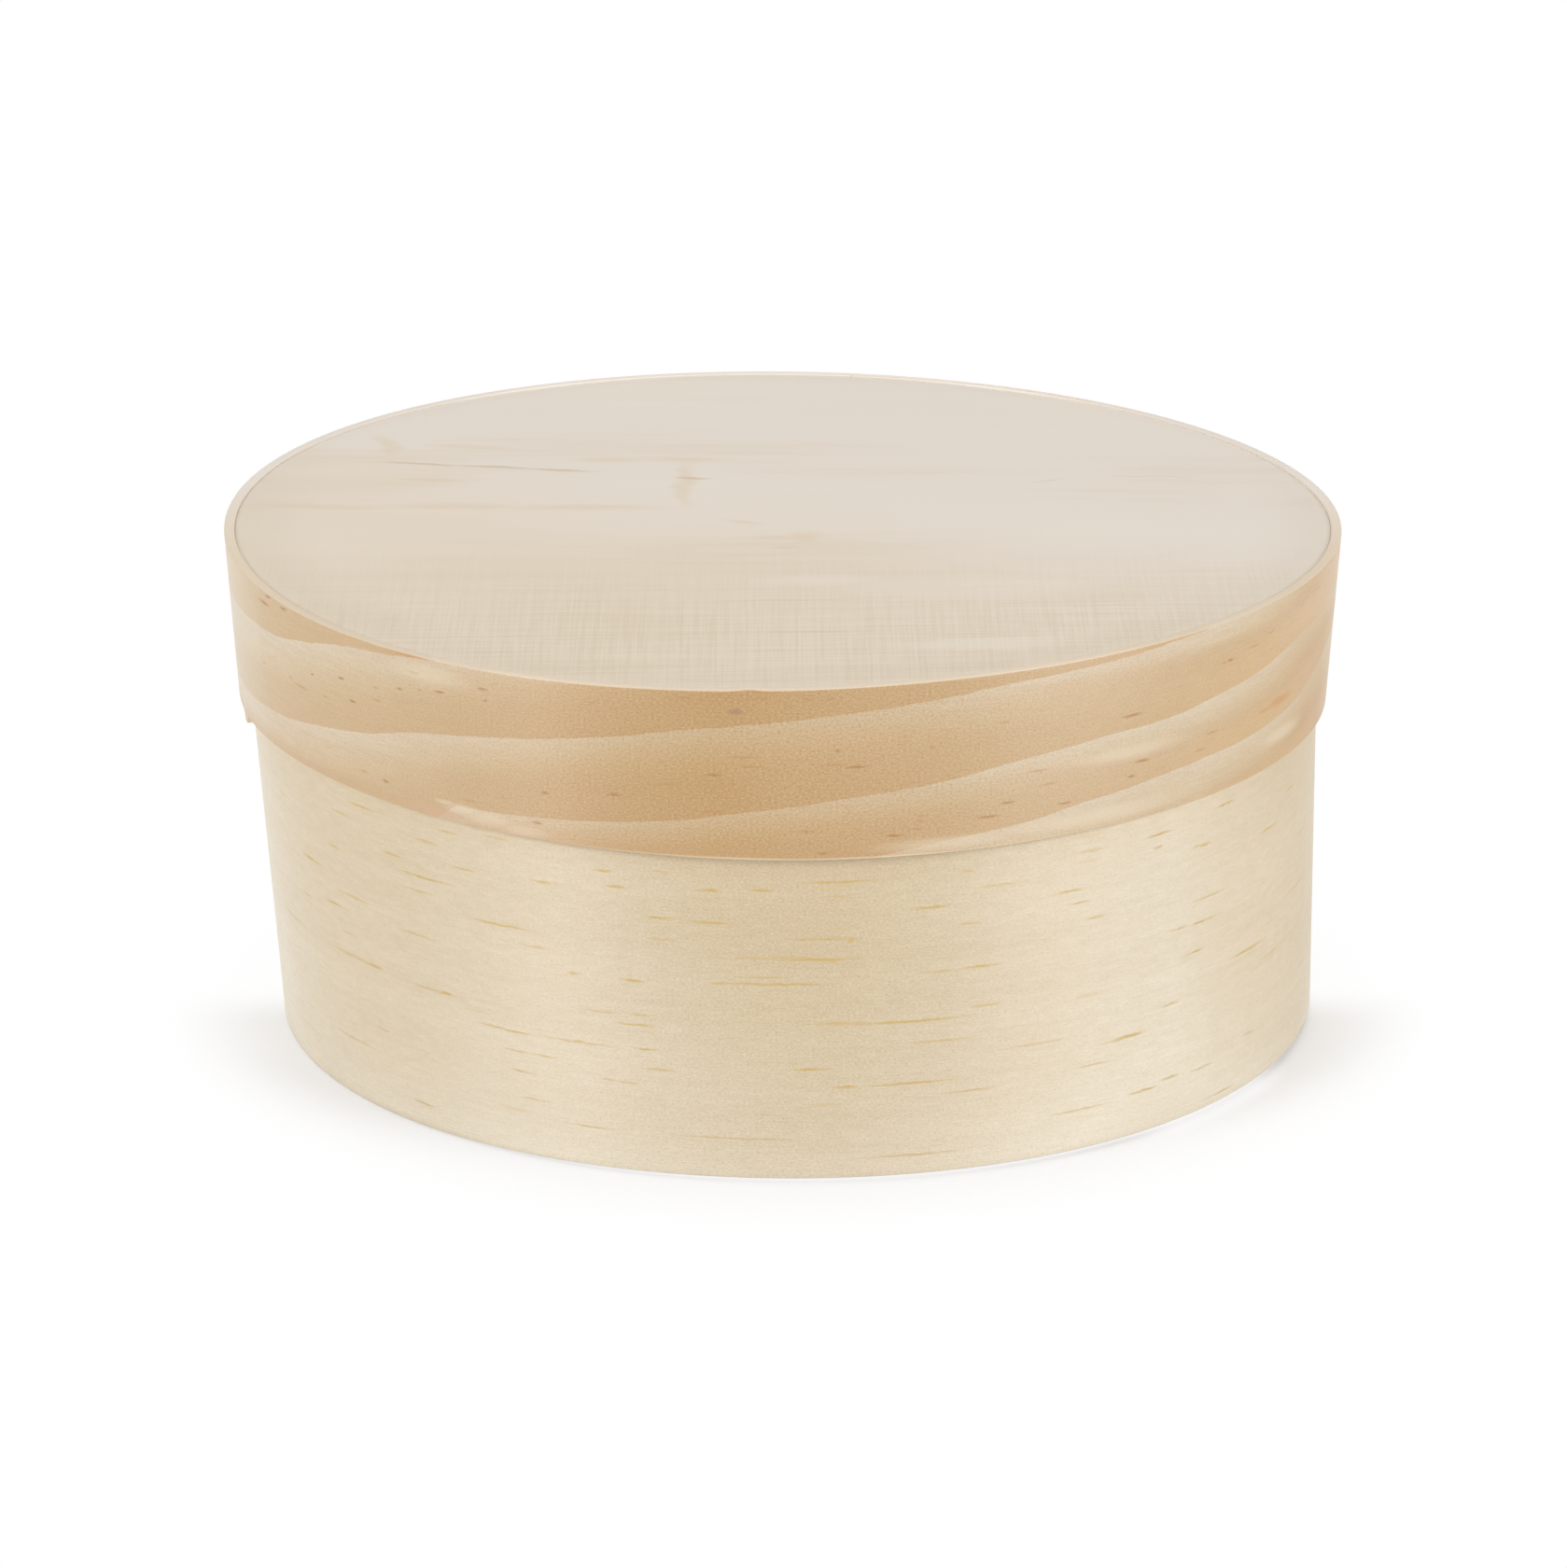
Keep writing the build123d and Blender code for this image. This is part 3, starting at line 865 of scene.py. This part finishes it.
# How warm and deep the strip's colour is along it, how far a painted sheen pales it at its left and
# right sides, how far it darkens towards its lower edge and how tan it turns towards its upper one,
# each as angle and share.
warmth = [(54, 0.4), (110, 0.8), (150, 0.5), (180, 0.0), (200, 0.0), (212, 0.18), (225, 0.22), (234, 0.34),
          (242, 0.70), (250, 0.86), (258, 0.90), (264, 1.0), (277, 0.76), (290, 0.50), (303, 0.38), (316, 0.17),
          (329, 0.52), (338, 0.95), (343, 0.95), (355, 0.62), (400, 0.6), (442, 0.5)]
bleach = [(54, 0), (120, 0), (170, 0.5), (190, 0.55), (198, 0.30), (206, 0.0), (344, 0.0), (352, 0.22),
          (362, 0.3), (390, 0)]
mouth_tint = [(54, 1), (222, 1), (228, 0.4), (238, 0.5), (245, 1), (272, 1), (283, 0.3), (290, 0), (316, 0),
              (324, 0.7), (345, 1)]
rim_tan = [(288, 0), (300, 0.6), (325, 0.8), (345, 1.2)]

lid_columns = strip_columns(lid_strip_radius, lid_lap_angle, lid_lap_thickness)
lid_loop = section_loop(64, 26)
lid_hoop_points = bent_strip(lid_columns, lid_loop, lid_mouth, lid_rim, lid_radius, lid_thickness,
                             lid_middle)
lid_hoop = make_piece("lid_hoop_veneer", lid_hoop_points)
note_strip(lid_hoop, lid_columns, lid_loop, lid_hoop_points, lid_strip_radius, lid_mouth)
lid_z = lid_hoop_points[..., 2]
lid_turn = np.degrees(lid_columns[0])[:, None] + 0 * lid_z
note(lid_hoop, "warmth", along_turn(lid_turn, warmth))
note(lid_hoop, "bleach", along_turn(lid_turn, bleach))
note(lid_hoop, "mouth_tint", along_turn(lid_turn, mouth_tint))
# The tan shade stays off the last two millimetres under the rim, except at the right.
tan_cut = np.clip(lid_z - 53.2, 0, 1) * np.clip((342 - lid_turn) / 8, 0, 1)
note(lid_hoop, "tan", np.clip((lid_z - 49.5) / 2, 0, 1) * along_turn(lid_turn, rim_tan) * (1 - tan_cut))
note(lid_hoop, "gold", 0.55 * bell(lid_turn, 329, 19))
note(lid_hoop, "crisp", 0.35 + 0.65 * bell(lid_turn, 270, 34))
# Torn fibres show pale along the lower edge at the front, and a painted highlight lies on them where the
# edge catches the light; the shaded underside of the nib at the left is painted pale. The upper edge is sawn
# clean and pale all round, and on the far side so is the top of the inner face, which is painted light at
# the sides too, over the shade in the gap by the board.
note(lid_hoop, "torn", 0.85 * bell(lid_turn, 274, 22) + 0.9 * bell(lid_turn, 193, 1.5))
note(lid_hoop, "upper", (lid_z > 45) + 0.0)
# Painted light: the top of the inner face is painted pale at the sides as well as on the far side, over the
# shade by the board's edge.
lid_inside = np.maximum(lid_loop[0], np.clip(lid_loop[3] * 3, 0, 1))[None, :]
lid_far_side = np.clip(np.sin(np.radians(lid_turn)) * 2.5 + 0.5, 0, 1)
note(lid_hoop, "blond", lid_inside * lid_far_side * np.clip((lid_z - 52) / 2, 0, 1))
note(lid_hoop, "ring", ring_number(lid_columns[0][:, None] + 0 * lid_z, lid_z))

lid_wood = Finish("ringed_pine_veneer")
strip = lid_wood.noted("strip", 1)
ragged = lid_wood.shaken(strip, (700, 3000, 300), (0.0012, 0.00022, 0))
fibres = lid_wood.noise(strip, (120, 5200, 400), 3.0, 0.6)
pores = lid_wood.noise(strip, (2600, 5200, 900), 2.0, 0.6)
streaks = lid_wood.noise(strip, (16, 420, 100), 3.0, 0.55)
clouds = lid_wood.noise(strip, (40, 90, 100), 2.0, 0.5)
mottle = lid_wood.noise(strip, (420, 1800, 300), 3.0, 0.65)
ring = lid_wood.noted("ring") + (fibres - 0.5) * 0.04 + (streaks - 0.5) * 0.05
part = ring.maths("FRACT", ring)
light_wood = lid_wood.node("ShaderNodeValToRGB", {"stops": [
    (0.0, paint(225, 213, 192)), (0.20, paint(221, 206, 178)), (0.40, paint(216, 196, 162)),
    (0.58, paint(211, 187, 149)), (0.78, paint(209, 183, 142)), (1.0, paint(208, 180, 138)),
]}, {0: part})
deep_wood = lid_wood.node("ShaderNodeValToRGB", {"stops": [
    (0.0, paint(201, 177, 137)), (0.20, paint(197, 165, 114)), (0.40, paint(191, 153, 93)),
    (0.60, paint(187, 146, 84)), (0.85, paint(186, 145, 82)), (1.0, paint(185, 142, 79)),
]}, {0: part})
lid_wood.colour = lid_wood.mix(lid_wood.noted("warmth"), light_wood, deep_wood)
lid_wood.coat(lid_wood.noted("tan"), 204, 172, 127)
lid_wood.coat(lid_wood.passage(part, 0.45, 0.75) * lid_wood.noted("gold"), 214, 178, 122)
lid_wood.coat(lid_wood.passage(clouds, 0.35, 0.75) * 0.20, 216, 184, 150)
lid_wood.coat(lid_wood.passage(streaks, 0.45, 0.8) * 0.22, 196, 158, 112)
fine = (fibres - 0.5) * 0.25 + (pores - 0.5) * 0.35 + (mottle - 0.5) * 0.45 + 0.5
lid_wood.coat(lid_wood.passage(fine, 0.32, 0.68) * 0.30, 184, 144, 92)
# Painted highlight: the sheen of the fibres at a flat angle, painted pale over the strip's left and right
# sides.
lid_wood.coat(lid_wood.noted("bleach"), 227, 216, 194)
crisp_grain(lid_wood, strip, 0.68, (164, 118, 68), 0.48, (228, 200, 156))
for marks, share, colour in [
    (lid_tongue, 0.8, (208, 170, 134)), (lid_pale_washes, 0.5, (226, 209, 180)),
    (lid_pale_marks, 0.5, (226, 208, 178)),
]:
    lid_wood.coat(lid_wood.spots(strip, on_strip(lid_strip_radius, marks)) * share, *colour)
lid_wood.coat(lid_wood.flecks(ragged, (0.009, 0.0021, 0.01), 0.13, 0.22) * 0.35, 184, 134, 80)
for marks, share, colour in [
    (lid_faint_marks, 0.6, (186, 133, 66)), (lid_marks, 0.85, (171, 114, 48)),
    (lid_resin, 0.8, (198, 138, 68)), (lid_knot, 0.7, (160, 120, 84)),
]:
    lid_wood.coat(lid_wood.spots(ragged, on_strip(lid_strip_radius, marks)) * share, *colour)
above_mouth = lid_wood.noted("above_edge")
near_mouth = 1 - lid_wood.passage(above_mouth, 0.0002, 0.0022)
lid_wood.coat(near_mouth * lid_wood.noted("mouth_tint") * 0.35, 196, 154, 106)
# Pale torn fibres and a painted highlight along the mouth's edge at the front, and painted light over the nib's
# shaded underside.
torn = above_mouth + (fibres - 0.5) * 0.0002 + (clouds - 0.5) * 0.0003
lid_wood.coat((1 - lid_wood.passage(torn, 0.00014, 0.00030)) * lid_wood.noted("torn"), 232, 212, 176)
lid_wood.coat(lid_wood.noted("cut_edge") * lid_wood.noted("upper") * 0.85, 228, 210, 184)
# Pale clean wood at the top of the inner face on the far side, and painted light over its shade at the sides.
lid_wood.coat(lid_wood.noted("blond") * 0.9, 236, 226, 214)
lid_hoop.data.materials.append(planed(lid_wood, fibres, pores))
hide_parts("lid_hoop")
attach(lid_hoop, "lid")

# The glue in the lid's lap is the same thin film of pale yellow wood glue as in the base's lap, and
# shows in the same way where the strip's two ends stop.

lid_film_points = bent_strip(film_columns(lid_strip_radius, lid_lap_angle, lid_lap_thickness),
                             section_loop(20, 20), lid_mouth, lid_rim, lid_radius, lid_thickness,
                             lid_middle, film_short)
lid_hoop_glue = make_piece("lid_lap_glue", lid_film_points)
lid_hoop_glue.data.materials.append(glue_finish)
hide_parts("lid_hoop_glue")
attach(lid_hoop_glue, "lid")

# The lid's board is plywood like the base's, pressed into the hoop almost flush with its rim. Its
# upper face is sanded; it shows a pinkish, cloudy figure, a few brown streaks and a faint hatch.

lid_board_height = lid_rim_height - board_recess - board

lid_inner_flare = 0.0566         # widening of the inside of the lid's hoop per millimetre of height
lid_board_gap = 0.015            # room between the board's edge and the hoop
lid_face_ease = 0.04             # rounding of the upper ply's sanded edge


def lid_ply_radius(low):
    """Radius of a ply that just fits the lid's flaring hoop with its lower face at a height over the
    board's lower face."""
    z = lid_board_height + low
    return lid_radius(z) - lid_thickness(lid_share(z)) - lid_board_gap


def on_board(marks):
    """Marks given in millimetres and radians on the lid's board, as spots in metres."""
    return [(x * mm, y * mm, long * mm, high * mm, turn) for x, y, long, high, turn in marks]


lid_bottom_ply = make_ply("lid_board_bottom_ply", lid_ply_radius(0), lid_centre, under_board,
                          0, face_ply, face_ease, lid_inner_flare)
lid_bottom_ply.data.materials.append(plywood_face_finish)
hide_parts("lid_disc_bottom_ply")
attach(lid_bottom_ply, "lid")

lid_core_ply = make_ply("lid_board_core_ply", lid_ply_radius(face_ply), lid_centre, under_board,
                        face_ply, core_ply, core_ease, lid_inner_flare)
lid_core_ply.data.materials.append(plywood_core_finish)
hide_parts("lid_disc_core_ply")
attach(lid_core_ply, "lid")

lid_top_ply = make_ply("lid_board_top_ply", lid_ply_radius(face_ply + core_ply), lid_centre, under_board,
                       face_ply + core_ply, face_ply, lid_face_ease, lid_inner_flare)

board_glows = [(-50.0, 17.0, 30.0, 11.0, 0.0), (21.0, -26.0, 44.0, 14.0, 0.0), (20.0, -46.0, 26.0, 6.0, 0.0),
               (4.0, -23.0, 18.0, 6.0, 0.0)]
board_streaks = [(-41.0, 20.7, 13.0, 1.3, -0.126), (-33.0, 19.7, 14.0, 1.3, -0.126),
                 (-25.5, 18.7, 13.0, 1.2, -0.126), (-11.0, 16.0, 6.4, 1.3, -0.1)]
board_smears = [
    (-20.0, 22.8, 15.0, 3.2, 0.0), (-12.0, 23.3, 16.0, 3.4, 0.0), (-11.4, 13.5, 28.0, 3.4, -1.556),
    (-51.0, 3.9, 24.0, 3.6, 0.0), (-37.0, 4.4, 26.0, 3.2, 0.0), (-22.0, 4.3, 28.0, 3.4, 0.0),
    (-45.6, 28.1, 12.0, 4.0, -1.378), (-36.6, 28.0, 16.0, 2.6, -0.056), (-39.7, 14.5, 13.0, 1.6, -0.065),
    (1.8, -6.8, 6.4, 6.0, 0.0), (-1.4, -7.1, 13.0, 2.6, 0.0), (-4.8, -1.2, 8.0, 1.6, -0.3),
    (0.2, -10.7, 4.0, 2.2, 0.0),
]
board_lines = [
    (1.0, -41.0, 14, 0.6, 0.0), (16.5, -42.7, 20, 0.6, -0.08), (1.0, -30.0, 30, 0.7, 0.0),
    (23.0, -38.5, 13, 0.5, 0.0), (-41.5, -35.0, 6, 0.5, 0.0), (-30.0, -46.5, 9, 0.5, 0.0),
    (29.7, 15.5, 6.4, 0.8, 0.5), (41.0, 17.2, 19, 0.6, 0.0),
]
lid_face = Finish("plywood_lid_face")
place = lid_face.place()
flat_place = lid_face.vector("MULTIPLY", place, (1, 1, 0))
broad = lid_face.noise(place, (16, 30, 20), 2.0, 0.5)
long_streaks = lid_face.noise(place, (20, 280, 100), 3.0, 0.6)
fibre = lid_face.noise(place, (140, 4200, 1000), 2.0, 0.6)
hatch = lid_face.noise(place, (4200, 60, 100), 2.0, 0.6)
cross = lid_face.noise(place, (60, 2600, 100), 2.0, 0.6)
to_right = lid_face.axis(place, 0)
to_back = lid_face.axis(place, 1)
front = 1 - lid_face.passage(to_back + to_right * 0.35 + (broad - 0.5) * 0.03, -0.030, 0.012)
lid_face.colour = lid_face.mix(front, paint(226, 216, 204), paint(223, 210, 191))
tone = (broad - 0.5) * 1.3 + (long_streaks - 0.5) * 0.8 + 0.5
lid_face.coat(lid_face.passage(tone, 0.5, 1.0) * 0.5, 231, 221, 206)
lid_face.coat((1 - lid_face.passage(tone, 0.1, 0.5)) * 0.5, 215, 199, 174)
front_hatch = 1 - lid_face.passage(to_back, -0.045, -0.005)
fine = (hatch - 0.5) * 0.42 + (cross - 0.5) * 0.42 + 0.5
lid_face.coat(lid_face.passage(fine, 0.38, 0.66) * (front_hatch * 0.42 + 0.008), 196, 176, 144)
# Painted shade: the board is darkened within its outer ten millimetres, except at the back, next to the hoop.
painted_edge_shade = lid_face.passage(lid_face.vector("LENGTH", flat_place), 0.050, 0.0595)
near_side = 1 - lid_face.passage(to_back, 0.0, 0.03)
lid_face.coat(painted_edge_shade * near_side * 0.28, 204, 190, 168)
shaken = lid_face.shaken(flat_place, (120, 300, 0), (0.004, 0.0014, 0))
for marks, share, colour in [
    (board_glows, 0.45, (229, 219, 205)), (board_smears, 0.35, (212, 190, 152)),
    (board_lines, 0.35, (204, 182, 150)), (board_streaks, 0.6, (196, 172, 144)),
]:
    lid_face.coat(lid_face.spots(shaken, on_board(marks)) * share, *colour)
relief = (fibre * 0.5 + hatch * 0.5) * (front_hatch * 0.85 + 0.15)
lid_top_ply.data.materials.append(lid_face.surface(0.60 + (fibre - 0.5) * 0.2, relief, 0.00003, 0.35))
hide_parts("lid_disc_top_ply")
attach(lid_top_ply, "lid")

# The glue bead under the lid's board was run into the corner with the hoop, as the base's was. It is
# small enough to stay clear of the base's rim.

lid_bead_leg = 0.75
lid_bead_wall = 1.14             # the strip's thickness at the bead


def lid_inside_radius(z):
    """Inside of the lid's hoop at the bead."""
    return lid_radius(z) - lid_bead_wall


def lid_corner(angle):
    """Height of the lower face of the lid's board near its edge."""
    return under_board(angle, bead_share)


lid_bead = make_bead("lid_board_glue", lid_inside_radius, lid_centre, lid_corner, lid_bead_leg, -1)
lid_bead.data.materials.append(glue_finish)
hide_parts("lid_disc_glue")
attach(lid_bead, "lid")

# The box stands on a white table in a white studio, lit by a broad soft light on either side and one
# overhead. The camera looks from the front, about nineteen degrees above the level.

table_mesh = bpy.data.meshes.new("table")
table_mesh.from_pydata([(-4, -4, 0), (4, -4, 0), (4, 4, 0), (-4, 4, 0)], [], [(0, 1, 2, 3)])
table = bpy.data.objects.new("table", table_mesh)
bpy.context.scene.collection.objects.link(table)

table_paint = Finish("white_table")
seen, glossy, through = (table_paint.node("ShaderNodeLightPath", {}, {}, ray) for ray in (0, 3, 6))
direct = seen.maths("MINIMUM", seen + glossy + through, 1.0)
plain = table_paint.node("ShaderNodeBsdfDiffuse", {}, {"Color": (0.94, 0.94, 0.94, 1)})
bright = table_paint.node("ShaderNodeEmission", {}, {"Color": (1, 1, 1, 1), "Strength": 1.0})
table_place = table_paint.place()
table_away = table_paint.away(table_place, (base_foot_centre * mm, 0, 0))
table_right = table_paint.axis(table_place, 0)
table_back = table_paint.axis(table_place, 1)
# The soft shadow beside the foot grows from the front to the sides, ends 15 mm out and has a gleam in it.
shadow = 0.30 + table_paint.passage(table_back, -0.060, -0.022) * 0.36
shadow = shadow * (1 - table_paint.passage(table_back, -0.011, 0.001) * 0.92)
shadow = shadow + shadow * table_paint.passage(table_right, 0.0, 0.05) * 0.12
shadow = shadow * (1 - table_paint.passage(table_away, 0.057, 0.072))
shadow = shadow * (0.35 + table_paint.passage(table_away, 0.0562, 0.0570) * 0.65)
gleam = 1 - table_paint.passage(table_paint.away(table_place, (0.046, -0.035, 0)), 0.006, 0.016)
gleam = gleam * (1 - table_paint.passage(table_away, 0.0578, 0.0602))
shadow = shadow * (1 - gleam * 0.62)
blend = table_paint.node("ShaderNodeMixShader", {}, {0: direct * (1 - shadow), 1: plain, 2: bright})
table_paint.node("ShaderNodeOutputMaterial", {}, {"Surface": blend})
table.data.materials.append(table_paint.material)

room = bpy.data.worlds.new("studio")
bpy.context.scene.world = room
studio = Finish("studio", room)
room_seen = studio.node("ShaderNodeLightPath", {}, {}, 0)
walls = studio.node("ShaderNodeBackground", {}, {"Color": (1, 1, 1, 1), "Strength": 0.40})
backdrop = studio.node("ShaderNodeBackground", {}, {"Color": (1, 1, 1, 1), "Strength": 1.0})
room_blend = studio.node("ShaderNodeMixShader", {}, {0: room_seen, 1: walls, 2: backdrop})
studio.node("ShaderNodeOutputWorld", {}, {"Surface": room_blend})

lamp_aim = 0.03                  # the height over the table that the lamps are aimed at


def soft_light(name, azimuth, elevation, distance, width, height, power):
    """A broad soft lamp that looks at the middle of the box from a direction given in degrees."""
    a = math.radians(azimuth)
    e = math.radians(elevation)
    lamp = bpy.data.lights.new(name, "AREA")
    lamp.shape = "RECTANGLE"
    lamp.size = width
    lamp.size_y = height
    lamp.energy = power
    holder = bpy.data.objects.new(name, lamp)
    holder.location = (distance * math.cos(e) * math.cos(a), distance * math.cos(e) * math.sin(a),
                       lamp_aim + distance * math.sin(e))
    holder.rotation_euler = (math.pi / 2 - e, 0, a + math.pi / 2)
    bpy.context.scene.collection.objects.link(holder)


soft_light("left_light", -141, 24, 0.9, 0.34, 0.30, 3.1)
soft_light("right_light", -32, 24, 0.9, 0.50, 0.30, 3.3)
soft_light("top_light", 90, 78, 1.2, 0.9, 0.9, 5.5)

camera = bpy.data.cameras.new("camera")
camera.lens = 151.65
camera.sensor_width = 36.0
camera.shift_x = 0.0004
camera.shift_y = -0.0188
camera_holder = bpy.data.objects.new("camera", camera)
camera_holder.location = (camera_side * mm, -camera_distance * mm * math.cos(camera_tilt),
                          (camera_aim + camera_distance * math.sin(camera_tilt)) * mm)
camera_holder.rotation_euler = (math.pi / 2 - camera_tilt, 0, 0)
bpy.context.scene.collection.objects.link(camera_holder)
bpy.context.scene.camera = camera_holder
bpy.context.scene.view_settings.view_transform = "Standard"
